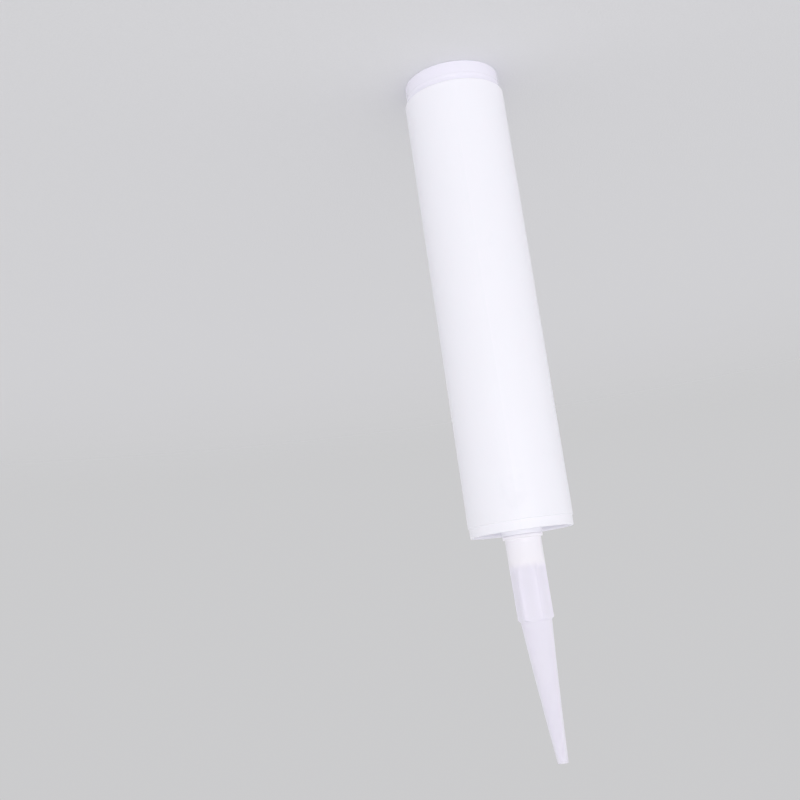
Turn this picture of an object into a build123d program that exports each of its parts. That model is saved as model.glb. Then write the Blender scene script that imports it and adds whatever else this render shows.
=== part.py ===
from build123d import *
import os

# A refillable caulk tube, standing on its rear end with the nozzle up.
# The origin is the centre of the piston's rear rim, and +Z runs along the tube to the nozzle's tip.
# Millimetres throughout.

# Barrel, one moulding: a straight tube, a set-back front collar, a recessed head and a spout
barrel_d = 48.8
barrel_wall = 1.2
barrel_length = 215.0
rear_edge_break = 0.4
rear_lead_in = 0.5

# Collar round the head, drawn in from the barrel's outside, with a bevel inside its rim
collar_length = 4.8
collar_setback = 0.4
collar_draft = 0.1
collar_step_slope = 0.3
rim_wall = 1.2
rim_edge_break = 0.2
rim_bevel_height = 0.9
rim_bevel_width = 0.4

# Head: a stiff disc set below the rim, with an annular groove between it and the collar
head_recess = 2.4
head_wall = 1.4
head_edge_wall = 1.3
groove_width = 2.2
groove_depth = 4.0
groove_floor = 1.3
rib_count = 12
rib_width = 0.8
rib_height = 0.6
rib_edge_gap = 0.8

# Boss that the nozzle's flange comes down to, and the spout on it, drawn at its thread's core
boss_above_rim = 1.2
boss_wall = 1.3
spout_height = 14.8
spout_wall = 1.2
spout_lead_in = 0.3
thread_core_d = 12.4
thread_height = 0.7

# Nozzle, one moulding: flange, round skirt over the spout, hexagon grip and hollow cone
flange_gap = 0.05
flange_lip = 0.95
flange_thickness = 1.55
flange_edge_break = 0.35
thread_clearance = 0.15
skirt_wall = 1.3
seat_overlap = 0.6
grip_below_seat = 2.8
grip_length = 26.2
grip_runout = 3.0
grip_flat_inset = 0.9
grip_flat_draft = 0.1
grip_corner_draft = 0.1
grip_shoulder = 1.0
cone_inset = 0.2
cone_length = 62.5
cone_wall = 1.65
tip_d = 4.8
tip_wall = 1.0
tip_edge_break = 0.3

# Piston: a cup that is open to the rear, with two sealing lips and a crown that fills the head
piston_stand_out = 10.0
piston_length = 26.0
piston_wall = 1.3
piston_clearance = 0.15
lip_clearance = 0.05
lip_width = 1.2
lip_ramp = 0.4
front_lip_setback = 0.6
lip_spacing = 7.5
bead_at = 6.8
bead_width = 0.8
rear_rim_break = 0.3
cup_depth = 14.0
cup_lead_in = 0.4
cup_step = 0.55
crown_side_clearance = 0.5
crown_edge_break = 0.8
web_thickness = 1.5
push_rib_count = 6
push_rib_width = 1.2
push_ring_d = 11.0
push_ring_wall = 1.2

# Places along the axis and radii that follow from the sizes above
barrel_r = barrel_d / 2
bore_r = barrel_r - barrel_wall
barrel_rear_z = piston_stand_out
rim_z = barrel_rear_z + barrel_length
collar_z = rim_z - collar_length
collar_r = barrel_r - collar_setback
rim_r = collar_r - collar_draft
collar_inner_r = rim_r - rim_wall
rim_inner_r = collar_inner_r + rim_bevel_width
head_z = rim_z - head_recess
head_r = collar_inner_r - groove_width
head_core_r = head_r - head_edge_wall
groove_z = head_z - groove_depth
bore_end_z = groove_z - groove_floor
head_core_z = head_z - head_wall
spout_r = thread_core_d / 2
spout_bore_r = spout_r - spout_wall
socket_r = spout_r + thread_height + thread_clearance
skirt_r = socket_r + skirt_wall
flange_r = skirt_r + flange_lip
boss_r = flange_r
boss_z = rim_z + boss_above_rim
funnel_r = boss_r - boss_wall
funnel_z = boss_z - boss_wall
spout_z = boss_z + spout_height
flange_z = boss_z + flange_gap
grip_z = spout_z - grip_below_seat
flat_z = grip_z + grip_runout
grip_end_z = grip_z + grip_length
cone_z = grip_end_z + grip_shoulder
tip_z = cone_z + cone_length
flat_r = skirt_r - grip_flat_inset
cone_r = flat_r - grip_flat_draft - cone_inset
piston_r = bore_r - piston_clearance
lip_r = bore_r - lip_clearance
cup_r = piston_r - piston_wall
deep_cup_r = cup_r - cup_step
crown_r = head_core_r - crown_side_clearance
crown_inner_r = crown_r - piston_wall
crown_step = bore_end_z - head_core_z
shoulder_z = piston_length + crown_step
front_lip_z = shoulder_z - front_lip_setback - lip_ramp - lip_width / 2


def revolved(outline):
    """A solid of revolution about Z from a closed outline of (radius, height) points."""
    points = [(radius, 0, height) for radius, height in outline]
    return revolve(make_face(Polyline(*points, close=True)), axis=Axis.Z)


def ring_edges(solid, radius, height, tolerance=0.02):
    """The circular edges of a solid that have this radius and lie at this height."""
    return [
        edge
        for edge in solid.edges().filter_by(GeomType.CIRCLE)
        if abs(edge.radius - radius) < tolerance and abs(edge.center().Z - height) < tolerance
    ]


def barrel_tube():
    """The tube, its collar, head, boss and spout as one turned outline of even wall thickness."""
    step_z = collar_z + collar_step_slope
    outline = [
        (bore_r + rear_lead_in, barrel_rear_z),
        (barrel_r, barrel_rear_z),
        (barrel_r, collar_z),
        (collar_r, step_z),
        (rim_r, rim_z),
        (rim_inner_r, rim_z),
        (collar_inner_r, rim_z - rim_bevel_height),
        (collar_inner_r, groove_z),
        (head_r, groove_z),
        (head_r, head_z),
        (boss_r, head_z),
        (boss_r, boss_z),
        (spout_r, boss_z),
        (spout_r, spout_z),
        (spout_bore_r, spout_z),
        (spout_bore_r, funnel_z),
        (funnel_r, head_core_z),
        (head_core_r, head_core_z),
        (head_core_r, bore_end_z),
        (bore_r, bore_end_z),
        (bore_r, barrel_rear_z + rear_lead_in),
    ]
    return revolved(outline)


def head_ribs():
    """Low radial ribs on the head's face, from the boss almost to the groove."""
    inner_r = boss_r - boss_wall / 2
    outer_r = head_r - rib_edge_gap
    length = outer_r - inner_r
    rib = Box(length, rib_width, rib_height + head_wall / 2, align=(Align.MIN, Align.CENTER, Align.MIN))
    start = Pos(inner_r, 0, head_z - head_wall / 2)
    return [Rot(0, 0, 360 / rib_count * i) * start * rib for i in range(rib_count)]


def make_barrel():
    """The whole barrel moulding with its edges broken."""
    barrel = barrel_tube()
    barrel = chamfer(ring_edges(barrel, barrel_r, barrel_rear_z), rear_edge_break)
    barrel = chamfer(ring_edges(barrel, rim_r, rim_z), rim_edge_break)
    barrel = chamfer(ring_edges(barrel, spout_r, spout_z), spout_lead_in)
    return barrel + head_ribs()


def nozzle_body():
    """The nozzle as one turned outline: flange, skirt, blank of the grip, cone and channel."""
    outline = [
        (socket_r, flange_z),
        (flange_r, flange_z),
        (flange_r, flange_z + flange_thickness),
        (skirt_r, flange_z + flange_thickness),
        (skirt_r, grip_z),
        (skirt_r - grip_corner_draft, grip_end_z),
        (cone_r, cone_z),
        (tip_d / 2, tip_z),
        (tip_d / 2 - tip_wall, tip_z),
        (cone_r - cone_wall, cone_z),
        (spout_r - seat_overlap, spout_z),
        (socket_r, spout_z),
    ]
    return revolved(outline)


def grip_flat():
    """What one flat of the grip cuts away, with its sloping run-out into the round skirt."""
    draft_slope = grip_flat_draft / (grip_end_z - flat_z)
    runout_slope = grip_flat_inset / grip_runout
    margin = 1.0
    outer_r = skirt_r + margin
    past_z = cone_z + margin
    side = [
        (flat_r, 0, flat_z),
        (flat_r - draft_slope * (past_z - flat_z), 0, past_z),
        (outer_r, 0, past_z),
        (outer_r, 0, flat_z - (outer_r - flat_r) / runout_slope),
    ]
    face = make_face(Polyline(*side, close=True))
    return extrude(face, amount=skirt_r, dir=(0, 1, 0), both=True)


def make_nozzle():
    """The whole nozzle moulding, with one flat of the grip facing +X."""
    nozzle = nozzle_body()
    flange_top_z = flange_z + flange_thickness
    flange_edges = ring_edges(nozzle, flange_r, flange_z) + ring_edges(nozzle, flange_r, flange_top_z)
    nozzle = chamfer(flange_edges, flange_edge_break)
    nozzle = chamfer(ring_edges(nozzle, tip_d / 2, tip_z), tip_edge_break)
    cutter = grip_flat()
    return nozzle - [Rot(0, 0, 60 * i) * cutter for i in range(6)]


def piston_cup():
    """The piston as one turned outline, open to the rear, with its crown stepped to fill the head."""
    outline = [
        (cup_r + cup_lead_in, 0),
        (piston_r, 0),
        (piston_r, shoulder_z),
        (crown_r, shoulder_z),
        (crown_r, piston_length),
        (0, piston_length),
        (0, piston_length - web_thickness),
        (crown_inner_r, piston_length - web_thickness),
        (crown_inner_r, shoulder_z - web_thickness),
        (deep_cup_r, shoulder_z - web_thickness),
        (deep_cup_r, cup_depth),
        (cup_r, cup_depth),
        (cup_r, cup_lead_in),
    ]
    cup = revolved(outline)
    cup = chamfer(ring_edges(cup, crown_r, piston_length), crown_edge_break)
    return chamfer(ring_edges(cup, piston_r, 0), rear_rim_break)


def skirt_bead(middle_z, width):
    """A raised bead round the piston's skirt that just clears the bore, with sloping sides."""
    root_r = piston_r - piston_wall / 2
    low, high = middle_z - width / 2, middle_z + width / 2
    outline = [
        (root_r, low - lip_ramp),
        (piston_r, low - lip_ramp),
        (lip_r, low),
        (lip_r, high),
        (piston_r, high + lip_ramp),
        (root_r, high + lip_ramp),
    ]
    return revolved(outline)


def push_ribs():
    """Radial ribs and a centre ring inside the piston, which a push disc bears on."""
    ring_r = push_ring_d / 2
    ring_inner_r = ring_r - push_ring_wall
    start_r = ring_r - push_ring_wall / 2
    crown_root_r = crown_inner_r + piston_wall / 2
    crown_root_z = piston_length - web_thickness / 2
    shoulder_root_z = shoulder_z - web_thickness / 2
    side = [
        (start_r, 0, cup_depth),
        (cup_r, 0, cup_depth),
        (cup_r, 0, shoulder_root_z),
        (crown_root_r, 0, shoulder_root_z),
        (crown_root_r, 0, crown_root_z),
        (start_r, 0, crown_root_z),
    ]
    face = make_face(Polyline(*side, close=True))
    rib = extrude(face, amount=push_rib_width / 2, dir=(0, 1, 0), both=True)
    ring = revolved(
        [
            (ring_inner_r, cup_depth),
            (ring_r, cup_depth),
            (ring_r, crown_root_z),
            (ring_inner_r, crown_root_z),
        ]
    )
    return [Rot(0, 0, 360 / push_rib_count * i) * rib for i in range(push_rib_count)] + [ring]


def make_piston():
    """The whole piston moulding."""
    piston = piston_cup()
    piston += skirt_bead(front_lip_z, lip_width)
    piston += skirt_bead(front_lip_z - lip_spacing, lip_width)
    piston += skirt_bead(bead_at, bead_width)
    return piston + push_ribs()


os.makedirs("parts", exist_ok=True)
for name, solid in (("barrel", make_barrel()), ("nozzle", make_nozzle()), ("piston", make_piston())):
    export_step(solid, f"parts/{name}.step")
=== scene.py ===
import math

import bmesh
import bpy
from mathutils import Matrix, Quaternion, Vector


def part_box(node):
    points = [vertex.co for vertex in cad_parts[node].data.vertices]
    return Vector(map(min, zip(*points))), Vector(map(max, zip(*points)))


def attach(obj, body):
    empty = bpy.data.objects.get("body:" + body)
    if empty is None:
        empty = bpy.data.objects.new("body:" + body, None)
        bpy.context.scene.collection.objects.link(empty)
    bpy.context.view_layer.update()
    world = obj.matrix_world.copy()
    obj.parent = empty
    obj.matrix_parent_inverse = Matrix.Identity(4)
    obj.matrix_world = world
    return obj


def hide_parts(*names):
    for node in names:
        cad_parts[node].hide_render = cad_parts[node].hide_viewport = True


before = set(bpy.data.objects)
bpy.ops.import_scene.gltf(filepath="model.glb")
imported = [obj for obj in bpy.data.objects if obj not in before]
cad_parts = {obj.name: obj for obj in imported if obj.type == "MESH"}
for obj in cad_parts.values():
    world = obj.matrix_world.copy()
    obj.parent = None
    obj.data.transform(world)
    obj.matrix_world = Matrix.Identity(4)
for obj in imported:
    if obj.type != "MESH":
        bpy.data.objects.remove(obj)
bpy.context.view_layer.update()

MM = 0.001

# Heights that the nozzle and the threads take from the CAD, in millimetres
SPOUT_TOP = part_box("barrel")[1].z / MM
NOZZLE_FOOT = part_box("nozzle")[0].z / MM
NOZZLE_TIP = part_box("nozzle")[1].z / MM

# Nozzle, in millimetres: flange, round skirt, hexagon grip that runs out into it, and cone
FLANGE_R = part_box("nozzle")[1].x / MM
FLANGE_THICKNESS = 1.55
FLANGE_ROUND = 0.4
SKIRT_R = 8.35
SKIRT_FOOT_ROUND = 0.35
GRIP_FOOT = SPOUT_TOP - 2.8
GRIP_TOP = GRIP_FOOT + 26.2
GRIP_TOP_R = 8.25
GRIP_RUNOUT = 3.0
GRIP_FLAT_R = 7.45
GRIP_FLAT_TOP_R = 7.35
GRIP_EDGE_ROUND = 0.15
GRIP_RUNOUT_ROUND = 0.9
SHOULDER_HEIGHT = 1.0
SHOULDER_ROUND = 0.45
CONE_R = 7.15
TIP_R = 2.4
TIP_ROUND = 0.3
SOCKET_R = 7.05
SOCKET_LEAD_IN = 0.35
SEAT_R = 5.6
CHANNEL_R = 5.5
TIP_BORE_R = 1.4

# How the nozzle came to rest: turned on its thread, and the soft tip bent to one side
NOZZLE_TURN = math.radians(6.7)
LEAN_START = 232.0
LEAN_AT_TIP = -2.18

# The nozzle's plastic, in millimetres: the wall from which it is cloudy, and the heights between which
# it changes from a painted white glow over the spout, which stands in for the spout's light through the
# wall, to clearer over the channel
CLOUDY_WALL = 2.75
SPOUT_GLOW_PAINTED_UP_TO = SPOUT_TOP - 3.0
CLEARER_FROM = SPOUT_TOP + 1.5

# The nozzle's mesh, in millimetres: its steps and small roundings, the share of a side that a rounding
# may take, and how far under its foot the grip begins to shape the skirt
OUTLINE_STEP = 0.75
CORNER_SEGMENTS = 4
RING_SEGMENTS = 192
SMALL_ROUND = 0.1
ROUNDING_SHARE = 0.45
GRIP_MARGIN = 1.0

# Thread on the spout and in the nozzle's socket, in millimetres and turns: coarse, right-hand, with a
# flat crest, and drawn out to a small share of its size at both ends
SPOUT_R = 6.2
THREAD_PITCH = 2.6
THREAD_TURNS = 4.1
THREAD_FOOT = NOZZLE_FOOT + 1.9
RIDGE_HEIGHT = 0.7
RIDGE_ROOT = 1.7
RIDGE_CREST = 0.8
RIDGE_SUNK = 0.1
TAPER_TURNS = 0.3
TAPER_TO = 0.02
TURN_SEGMENTS = 96
POINTS_OUT = -math.pi / 2

# Camera at the photograph's viewing angle, in millimetres and degrees
CAMERA_PLACE = (502.23, 0.0, 250.09)
CAMERA_AIM = (0.0, 47.38, 154.88)
CAMERA_ROLL = 172.04
CAMERA_LENS = 48.454
CAMERA_SENSOR = 36.0
CAMERA_NEAR = 10.0
CAMERA_FAR = 50000.0

# Studio, in metres and watts: the brighter side's direction, where the sky's parts blend into each
# other, the lamp on the brighter side, and the floor, which fades out with distance and lets light
# into the piston's cup
BRIGHT_SIDE = (0.98, -0.2, 0.0)
WALLS_BLEND = (-0.5, 0.15)
CEILING_BLEND = (0.1, 0.9)
HORIZON_BLEND = (-0.03, 0.03)
LAMP_PLACE = (2.2, -0.44, 0.25)
LAMP_AIM = (0.0, 0.0, 0.16)
LAMP_WIDTH = 2.4
LAMP_HEIGHT = 0.4
LAMP_POWER = 8.3
FLOOR_R = 4.0
FLOOR_FADE_START = 0.4
FLOOR_FADE_END = 1.4
CUP_OPENING_R = 0.02
CUP_OPENING_EDGE = 0.0005


class Wire:
    """A node's output: sums and products of wires add the Math nodes they need."""

    def __init__(self, network, socket):
        self.network = network
        self.socket = socket

    def maths(self, operation, first, second):
        return self.network.add("ShaderNodeMath", {"operation": operation}, {0: first, 1: second})

    def __add__(self, other):
        return self.maths("ADD", self, other)

    def __sub__(self, other):
        return self.maths("SUBTRACT", self, other)

    def __rsub__(self, other):
        return self.maths("SUBTRACT", other, self)

    def __mul__(self, other):
        return self.maths("MULTIPLY", self, other)

    def __truediv__(self, other):
        return self.maths("DIVIDE", self, other)

    def __rtruediv__(self, other):
        return self.maths("DIVIDE", other, self)

    def least(self, other):
        return self.maths("MINIMUM", self, other)

    def most(self, other):
        return self.maths("MAXIMUM", self, other)

    __radd__ = __add__
    __rmul__ = __mul__


class Network:
    """The nodes of a material, of the world or of a Geometry Nodes tree."""

    def __init__(self, tree):
        self.tree = tree
        self.tree.nodes.clear()

    def add(self, kind, settings=None, inputs=None, output=0):
        """Adds a node with its settings, feeds its sockets and gives one of its outputs."""
        node = self.tree.nodes.new(kind)
        for name, value in (settings or {}).items():
            setattr(node, name, value)
        for key, value in (inputs or {}).items():
            self.feed(node.inputs[key], value)
        return Wire(self, node.outputs[output]) if node.outputs else None

    def feed(self, socket, value):
        """Links a wire to a socket, or sets the socket's own value."""
        if isinstance(value, Wire):
            self.tree.links.new(value.socket, socket)
        else:
            socket.default_value = value

    def place(self):
        """The Object coordinates of the point that is shaded."""
        return self.add("ShaderNodeTexCoord", output="Object")

    def noise(self, scale, detail=2.0, stretch=(1, 1, 1), roughness=0.5):
        """Noise with so many cells a metre, times the stretch along each axis."""
        stretched = {"Vector": self.place(), "Scale": stretch}
        place = self.add("ShaderNodeMapping", {"vector_type": "POINT"}, stretched)
        sizes = {"Vector": place, "Scale": scale, "Detail": detail, "Roughness": roughness}
        return self.add("ShaderNodeTexNoise", None, sizes, "Fac")

    def step(self, wire, low, high):
        """A smooth step from 0 to 1 as a wire goes from low to high."""
        values = {"Value": wire, "From Min": low, "From Max": high}
        return self.add("ShaderNodeMapRange", {"interpolation_type": "SMOOTHSTEP"}, values)

    def blend(self, factor, first, second):
        """A colour between two colours."""
        return self.add("ShaderNodeMix", {"data_type": "RGBA"}, {0: factor, 6: first, 7: second}, 2)

    def bump(self, height, depth, normal=None):
        """A normal that follows a height from 0 to 1, so many metres deep."""
        inputs = {"Height": height, "Distance": depth, "Strength": 1.0}
        if normal is not None:
            inputs["Normal"] = normal
        return self.add("ShaderNodeBump", None, inputs)

    def surface(self, inputs):
        """A Principled surface with these inputs as the material's output."""
        surface = self.add("ShaderNodeBsdfPrincipled", None, inputs)
        self.add("ShaderNodeOutputMaterial", None, {"Surface": surface})


def colour(red, green, blue):
    return (red, green, blue, 1.0)


def new_material(name):
    """An empty material and the network of its nodes."""
    material = bpy.data.materials.new(name)
    material.use_nodes = True
    return material, Network(material.node_tree)


def white_plastic():
    """Opaque white polyethylene with a soft gloss, faint drag lines and a few rubbed places."""
    material, net = new_material("white_plastic")
    clouds = net.noise(22, detail=3)
    drag = net.noise(900, stretch=(1, 1, 0.02))
    grain = net.noise(2400)
    rubbed = net.step(net.noise(60, detail=5, roughness=0.65), 0.58, 0.74)
    white = net.blend(clouds, colour(0.92, 0.912, 0.975), colour(0.935, 0.927, 0.985))
    worn = net.blend(rubbed * 0.3, white, colour(0.87, 0.86, 0.92))
    smooth = net.bump(drag, 0.000012)
    net.surface({
        "Base Color": worn,
        "Roughness": clouds * 0.08 + rubbed * 0.12 + 0.34,
        "IOR": 1.5,
        "Subsurface Weight": 0.15,
        "Subsurface Radius": (1.0, 0.9, 0.9),
        "Subsurface Scale": 0.0006,
        "Normal": net.bump(grain, 0.000006, smooth),
    })
    return material


def natural_plastic():
    """Milky natural polyethylene of the piston, a shade greyer than the barrel."""
    material, net = new_material("natural_plastic")
    clouds = net.noise(45, detail=4)
    rings = net.noise(500, detail=1, stretch=(0.04, 0.04, 1))
    grain = net.noise(1800, detail=3)
    smooth = net.bump(rings, 0.00002)
    net.surface({
        "Base Color": net.blend(clouds, colour(0.865, 0.845, 0.965), colour(0.89, 0.87, 0.98)),
        "Roughness": clouds * 0.1 + 0.2,
        "IOR": 1.5,
        "Subsurface Weight": 0.5,
        "Subsurface Radius": (1.0, 0.95, 1.0),
        "Subsurface Scale": 0.0012,
        "Normal": net.bump(grain, 0.000008, smooth),
    })
    return material


def milky_plastic():
    """Milky see-through natural polyethylene of the nozzle, soft and waxy.

    Over the spout the skirt is nearly opaque, and its colour is a painted white glow that stands in for
    the light the white spout sends back through the wall. The glow belongs to the nozzle and rises with
    it. Over the channel the nozzle is hollow, and clearer where its wall is thin and is seen square on.
    """
    material, net = new_material("clear_natural_plastic")
    clouds = net.noise(70, detail=4)
    flow = net.noise(420, stretch=(1, 1, 0.05))
    grain = net.noise(2000)
    smooth = net.bump(flow, 0.00002)
    facing = net.add("ShaderNodeLayerWeight", None, {"Blend": 0.35}, "Facing")
    front = 1.0 - net.add("ShaderNodeNewGeometry", output="Backfacing")
    height = net.add("ShaderNodeSeparateXYZ", None, {0: net.place()}, "Z")
    hollow = net.step(height, SPOUT_GLOW_PAINTED_UP_TO * MM, CLEARER_FROM * MM)
    thinness = net.add("ShaderNodeAttribute", {"attribute_name": "thinness"}, output="Fac")
    cloudy = facing * 0.3 + 0.97 - hollow * (thinness * 0.5 + 0.01)
    over_channel = net.blend(clouds, colour(0.86, 0.83, 0.97), colour(0.88, 0.85, 0.98))
    net.surface({
        "Alpha": front * cloudy.least(1.0),
        # Painted white glow over the spout: a brighter colour that stands in for the spout's light
        # through the wall
        "Base Color": net.blend(hollow, colour(0.945, 0.905, 0.995), over_channel),
        "Roughness": clouds * 0.1 + 0.3,
        "IOR": 1.5,
        "Subsurface Weight": 0.6,
        "Subsurface Radius": (1.0, 1.0, 1.0),
        "Subsurface Scale": 0.0004,
        "Normal": net.bump(grain, 0.000006, smooth),
    })
    return material


def pale_floor():
    """Matt pale grey that fades out with distance and shows only from above.

    Light from below passes through it into the piston's cup.
    """
    material, net = new_material("pale_floor")
    flat = net.add("ShaderNodeVectorMath", {"operation": "MULTIPLY"}, {0: net.place(), 1: (1, 1, 0)})
    distance = net.add("ShaderNodeVectorMath", {"operation": "LENGTH"}, {0: flat}, "Value")
    speckle = net.noise(900, detail=3)
    matt = net.add("ShaderNodeBsdfPrincipled", None, {
        "Base Color": net.blend(speckle, colour(0.84, 0.84, 0.85), colour(0.88, 0.88, 0.89)),
        "Roughness": 1.0,
        "Specular IOR Level": 0.0,
        "Normal": net.bump(speckle, 0.0001),
    })
    behind = net.add("ShaderNodeNewGeometry", output="Backfacing")
    far_off = net.step(distance, FLOOR_FADE_START, FLOOR_FADE_END)
    under_cup = net.step(distance, CUP_OPENING_R + CUP_OPENING_EDGE, CUP_OPENING_R - CUP_OPENING_EDGE)
    unseen = 1.0 - net.add("ShaderNodeLightPath", output="Is Camera Ray")
    gone = behind.most(under_cup * unseen).most(far_off)
    clear = net.add("ShaderNodeBsdfTransparent")
    fading = net.add("ShaderNodeMixShader", None, {0: gone, 1: matt, 2: clear})
    net.add("ShaderNodeOutputMaterial", None, {"Surface": fading})
    return material


def studio_light():
    """Soft light from all round, brighter from one side, and a backdrop as pale as the lit floor."""
    bright_wall, dim_wall = colour(1.42, 1.415, 1.44), colour(0.84, 0.84, 0.86)
    ceiling, ground = colour(0.56, 0.56, 0.57), colour(0.64, 0.64, 0.65)
    backdrop_grey = colour(0.60, 0.60, 0.61)
    world = bpy.data.worlds.new("studio")
    world.use_nodes = True
    bpy.context.scene.world = world
    net = Network(world.node_tree)
    seen = net.add("ShaderNodeLightPath", output="Is Camera Ray")
    direction = net.add("ShaderNodeTexCoord", output="Generated")
    height = net.add("ShaderNodeSeparateXYZ", None, {0: direction}, "Z")
    pair = {0: direction, 1: BRIGHT_SIDE}
    towards = net.add("ShaderNodeVectorMath", {"operation": "DOT_PRODUCT"}, pair, "Value")
    wall = net.blend(net.step(towards, *WALLS_BLEND), dim_wall, bright_wall)
    sky = net.blend(net.step(height, *CEILING_BLEND), wall, ceiling)
    glow = net.blend(net.step(height, *HORIZON_BLEND), ground, sky)
    light = net.add("ShaderNodeBackground", None, {"Color": glow, "Strength": 1.0})
    backdrop = net.add("ShaderNodeBackground", None, {"Color": backdrop_grey, "Strength": 1.0})
    both = net.add("ShaderNodeMixShader", None, {0: seen, 1: light, 2: backdrop})
    net.add("ShaderNodeOutputWorld", None, {"Surface": both})


def soft_lamp():
    """A wide area lamp on the brighter side that faces the middle of the tube."""
    data = bpy.data.lights.new("key", "AREA")
    data.shape = "RECTANGLE"
    data.size = LAMP_WIDTH
    data.size_y = LAMP_HEIGHT
    data.energy = LAMP_POWER
    lamp = bpy.data.objects.new("key", data)
    lamp.location = LAMP_PLACE
    lamp.rotation_mode = "QUATERNION"
    lamp.rotation_quaternion = (Vector(LAMP_AIM) - Vector(LAMP_PLACE)).to_track_quat("-Z", "Y")
    bpy.context.scene.collection.objects.link(lamp)


def photograph_camera():
    """The camera at the photograph's viewing angle: the tube runs down the picture."""
    data = bpy.data.cameras.new("camera")
    data.lens = CAMERA_LENS
    data.sensor_width = CAMERA_SENSOR
    data.clip_start = CAMERA_NEAR * MM
    data.clip_end = CAMERA_FAR * MM
    camera = bpy.data.objects.new("camera", data)
    place = Vector(CAMERA_PLACE) * MM
    level = (Vector(CAMERA_AIM) * MM - place).to_track_quat("-Z", "Y")
    camera.location = place
    camera.rotation_mode = "QUATERNION"
    camera.rotation_quaternion = level @ Quaternion((0, 0, 1), math.radians(CAMERA_ROLL))
    bpy.context.scene.collection.objects.link(camera)
    bpy.context.scene.camera = camera


def linked(name, mesh, material, smooth=True):
    """An object with this mesh and material in the scene, shaded smooth or flat."""
    piece = bpy.data.objects.new(name, mesh)
    bpy.context.scene.collection.objects.link(piece)
    mesh.materials.clear()
    mesh.materials.append(material)
    for polygon in mesh.polygons:
        polygon.use_smooth = smooth
    return piece


def rounded(corners):
    """An outline of (radius, height) points whose corners are arcs of the roundings given with them."""
    outline = []
    count = len(corners)
    for index, (r, z, rounding) in enumerate(corners):
        here = Vector((r, z))
        back = Vector(corners[index - 1][:2]) - here
        ahead = Vector(corners[(index + 1) % count][:2]) - here
        if rounding == 0:
            outline.append(here)
            continue
        first, second = back.normalized(), ahead.normalized()
        half = first.angle(second) / 2
        reach = min(rounding / math.tan(half), min(back.length, ahead.length) * ROUNDING_SHARE)
        start, end = here + first * reach, here + second * reach
        middle = here + (first + second).normalized() * reach / math.cos(half)
        for step in range(CORNER_SEGMENTS + 1):
            along = start.lerp(end, step / CORNER_SEGMENTS)
            outline.append(middle + (along - middle).normalized() * reach * math.tan(half))
    return outline


def divided(outline):
    """A closed outline whose stretches are at most as long as OUTLINE_STEP."""
    fine = []
    for index, here in enumerate(outline):
        ahead = outline[(index + 1) % len(outline)]
        parts = max(1, math.ceil((ahead - here).length / OUTLINE_STEP))
        fine += [here.lerp(ahead, part / parts) for part in range(parts)]
    return fine


def soft_least(first, second, rounding):
    """The smaller of two sizes, with the change from one to the other rounded."""
    overlap = max(0.0, rounding - abs(first - second)) / rounding
    return min(first, second) - overlap * overlap * rounding / 4


def flat_distance(z):
    """How far a flat of the grip lies from the axis at a height."""
    full = GRIP_FOOT + GRIP_RUNOUT
    runout = GRIP_FLAT_R + (full - z) * (SKIRT_R - GRIP_FLAT_R) / GRIP_RUNOUT
    draft = GRIP_FLAT_R + (full - z) * (GRIP_FLAT_R - GRIP_FLAT_TOP_R) / (GRIP_TOP - full)
    return -soft_least(-runout, -draft, GRIP_RUNOUT_ROUND)


def grip_radius(r, z, angle):
    """The radius of the grip's outside at a height and an angle round the axis."""
    third = math.pi / 3
    turned = (angle - NOZZLE_TURN + third / 2) % third - third / 2
    return soft_least(r, flat_distance(z) / math.cos(turned), GRIP_EDGE_ROUND)


def lean(z):
    """How far to one side the soft nozzle has bent at a height."""
    share = max(0.0, z - LEAN_START) / (NOZZLE_TIP - LEAN_START)
    return LEAN_AT_TIP * share * share


def nozzle_outline():
    """The nozzle's cut face, from the socket's mouth up the outside to the tip and down the channel."""
    flange_top = NOZZLE_FOOT + FLANGE_THICKNESS
    cone_foot = GRIP_TOP + SHOULDER_HEIGHT
    corners = [
        (SOCKET_R + SOCKET_LEAD_IN, NOZZLE_FOOT, SMALL_ROUND),
        (FLANGE_R, NOZZLE_FOOT, FLANGE_ROUND),
        (FLANGE_R, flange_top, FLANGE_ROUND),
        (SKIRT_R, flange_top, SKIRT_FOOT_ROUND),
        (GRIP_TOP_R, GRIP_TOP, SHOULDER_ROUND),
        (CONE_R, cone_foot, SHOULDER_ROUND),
        (TIP_R, NOZZLE_TIP, TIP_ROUND),
        (TIP_BORE_R, NOZZLE_TIP, TIP_ROUND / 2),
        (CHANNEL_R, cone_foot, 0),
        (SEAT_R, SPOUT_TOP, SMALL_ROUND),
        (SOCKET_R, SPOUT_TOP, SMALL_ROUND),
        (SOCKET_R, NOZZLE_FOOT + SOCKET_LEAD_IN, SMALL_ROUND),
    ]
    return divided(rounded(corners))


def inside_radius(z):
    """The channel's radius at a height, which below the cone stays as wide as at the cone's foot."""
    cone_foot = GRIP_TOP + SHOULDER_HEIGHT
    narrowing = max(0.0, z - cone_foot) / (NOZZLE_TIP - cone_foot)
    return CHANNEL_R + (TIP_BORE_R - CHANNEL_R) * narrowing


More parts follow.
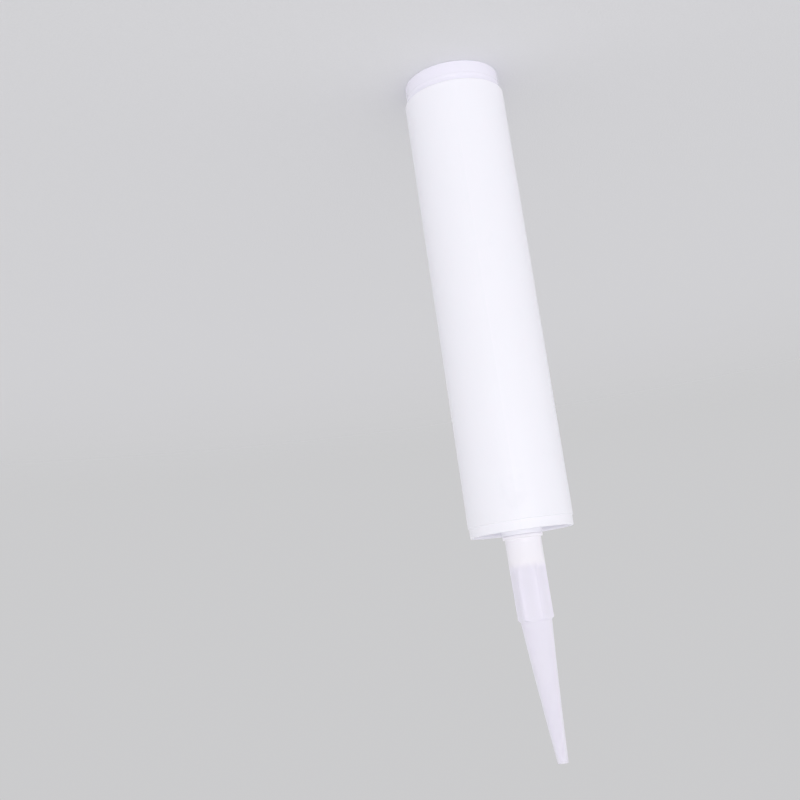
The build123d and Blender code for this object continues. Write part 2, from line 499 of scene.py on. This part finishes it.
def nozzle_mesh():
    """The nozzle as rings of points, closed from its channel to its outside.

    The attribute "thinness" goes from 0 where the wall is thick enough to be cloudy up to 1. The grip's
    edges count for a third, because light spreads sideways in the plastic.
    """
    outline = nozzle_outline()
    work = bmesh.new()
    thinness = work.verts.layers.float.new("thinness")
    rings = []
    for r, z in outline:
        gripped = r > CONE_R and GRIP_FOOT - GRIP_MARGIN < z < GRIP_TOP + SHOULDER_HEIGHT
        flat = min(r, flat_distance(z)) if gripped else r
        ring = []
        for step in range(RING_SEGMENTS):
            angle = 2 * math.pi * step / RING_SEGMENTS
            reach = grip_radius(r, z, angle) if gripped else r
            point = Vector((reach * math.cos(angle), reach * math.sin(angle) + lean(z), z))
            vertex = work.verts.new(point * MM)
            wall = (reach + 2 * flat) / 3 - inside_radius(z)
            vertex[thinness] = max(0.0, 1 - wall / CLOUDY_WALL)
            ring.append(vertex)
        rings.append(ring)
    for index, ring in enumerate(rings):
        following = rings[(index + 1) % len(rings)]
        for step in range(RING_SEGMENTS):
            beside = (step + 1) % RING_SEGMENTS
            work.faces.new((ring[step], ring[beside], following[beside], following[step]))
    bmesh.ops.recalc_face_normals(work, faces=work.faces)
    mesh = bpy.data.meshes.new("nozzle_shell")
    work.to_mesh(mesh)
    work.free()
    return mesh


def ridge_tree():
    """A tree that sweeps a flat-crested ridge along a right-hand helix and tapers its ends away.

    The section is drawn with its crest up and then turned to point away from the axis or towards it.
    """
    tree = bpy.data.node_groups.new("helical_ridge", "GeometryNodeTree")
    net = Network(tree)
    for name in ("Root Radius", "Pitch", "Turns", "Foot Height", "Start Angle", "Section Turn",
                 "Ridge Height", "Root Width", "Crest Width", "Taper Turns"):
        tree.interface.new_socket(name, in_out="INPUT", socket_type="NodeSocketFloat")
    tree.interface.new_socket("Material", in_out="INPUT", socket_type="NodeSocketMaterial")
    tree.interface.new_socket("Geometry", in_out="OUTPUT", socket_type="NodeSocketGeometry")
    given = net.add("NodeGroupInput").socket.node
    size = {socket.name: Wire(net, socket) for socket in given.outputs if socket.name}

    helix = net.add("GeometryNodeCurveSpiral", None, {
        "Resolution": TURN_SEGMENTS,
        "Rotations": size["Turns"],
        "Start Radius": size["Root Radius"],
        "End Radius": size["Root Radius"],
        "Height": size["Pitch"] * size["Turns"],
        "Reverse": True,
    })
    along = net.add("GeometryNodeSplineParameter", output="Factor") * size["Turns"] / size["Taper Turns"]
    left = size["Turns"] / size["Taper Turns"] - along
    swell = net.step(along.least(left), 0.0, 1.0) * (1 - TAPER_TO) + TAPER_TO
    tapered = net.add("GeometryNodeSetCurveRadius", None, {"Curve": helix, "Radius": swell})
    upright = net.add("GeometryNodeSetCurveNormal", {"mode": "Z_UP"}, {"Curve": tapered})
    section = net.add("GeometryNodeCurvePrimitiveQuadrilateral", {"mode": "TRAPEZOID"}, {
        "Height": size["Ridge Height"],
        "Bottom Width": size["Root Width"],
        "Top Width": size["Crest Width"],
        "Offset": 0.0,
    })
    half_up = net.add("ShaderNodeCombineXYZ", None, {"Y": size["Ridge Height"] * 0.5})
    on_root = net.add("GeometryNodeTransform", None, {"Geometry": section, "Translation": half_up})
    lying = net.add("ShaderNodeCombineXYZ", None, {"Z": size["Section Turn"]})
    pointed = net.add("GeometryNodeTransform", None, {"Geometry": on_root, "Rotation": lying})
    ridge = net.add("GeometryNodeCurveToMesh", None, {
        "Curve": upright,
        "Profile Curve": pointed,
        "Scale": net.add("GeometryNodeInputRadius"),
        "Fill Caps": True,
    })
    turn = net.add("ShaderNodeCombineXYZ", None, {"Z": size["Start Angle"]})
    rise = net.add("ShaderNodeCombineXYZ", None, {"Z": size["Foot Height"]})
    set_place = {"Geometry": ridge, "Translation": rise, "Rotation": turn}
    placed = net.add("GeometryNodeTransform", None, set_place)
    whole = net.add("GeometryNodeRealizeInstances", None, {"Geometry": placed})
    coated = net.add("GeometryNodeSetMaterial", None, {"Geometry": whole, "Material": size["Material"]})
    net.add("NodeGroupOutput", None, {"Geometry": coated})
    return tree


def grown(name, tree, sizes, material):
    """A piece whose plain mesh is grown by the tree with these sizes."""
    carrier = bpy.data.objects.new(name, bpy.data.meshes.new(name))
    bpy.context.scene.collection.objects.link(carrier)
    modifier = carrier.modifiers.new("grow", "NODES")
    modifier.node_group = tree
    values = dict(sizes, Material=material)
    for item in tree.interface.items_tree:
        if item.name in values:
            modifier[item.identifier] = values[item.name]
    evaluated = carrier.evaluated_get(bpy.context.evaluated_depsgraph_get())
    mesh = bpy.data.meshes.new_from_object(evaluated)
    bpy.data.objects.remove(carrier)
    work = bmesh.new()
    work.from_mesh(mesh)
    bmesh.ops.remove_doubles(work, verts=work.verts, dist=1e-7)
    bmesh.ops.recalc_face_normals(work, faces=work.faces)
    work.to_mesh(mesh)
    work.free()
    return linked(name, mesh, material, smooth=False)


white = white_plastic()
natural = natural_plastic()
milky = milky_plastic()
for name, material in (("barrel", white), ("piston", natural), ("nozzle", milky)):
    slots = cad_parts[name].data.materials
    slots.clear()
    slots.append(material)

nozzle = linked("nozzle_shell", nozzle_mesh(), milky)
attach(nozzle, "nozzle")
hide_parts("nozzle")

ridge = ridge_tree()
thread = {
    "Pitch": THREAD_PITCH * MM,
    "Turns": THREAD_TURNS,
    "Foot Height": THREAD_FOOT * MM,
    "Ridge Height": (RIDGE_HEIGHT + RIDGE_SUNK) * MM,
    "Root Width": RIDGE_ROOT * MM,
    "Crest Width": RIDGE_CREST * MM,
    "Taper Turns": TAPER_TURNS,
}
on_spout = {
    "Root Radius": (SPOUT_R - RIDGE_SUNK) * MM,
    "Start Angle": 0.0,
    "Section Turn": POINTS_OUT,
}
in_socket = {
    "Root Radius": (SOCKET_R + RIDGE_SUNK) * MM,
    "Start Angle": math.pi,
    "Section Turn": -POINTS_OUT,
}
spout_thread = grown("spout_thread", ridge, thread | on_spout, white)
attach(spout_thread, "barrel")
socket_thread = grown("socket_thread", ridge, thread | in_socket, milky)
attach(socket_thread, "nozzle")

floor_mesh = bpy.data.meshes.new("floor")
floor_work = bmesh.new()
bmesh.ops.create_circle(floor_work, cap_ends=True, segments=64, radius=FLOOR_R)
floor_work.to_mesh(floor_mesh)
floor_work.free()
floor = linked("floor", floor_mesh, pale_floor())

studio_light()
soft_lamp()
photograph_camera()
bpy.context.scene.view_settings.view_transform = "Standard"
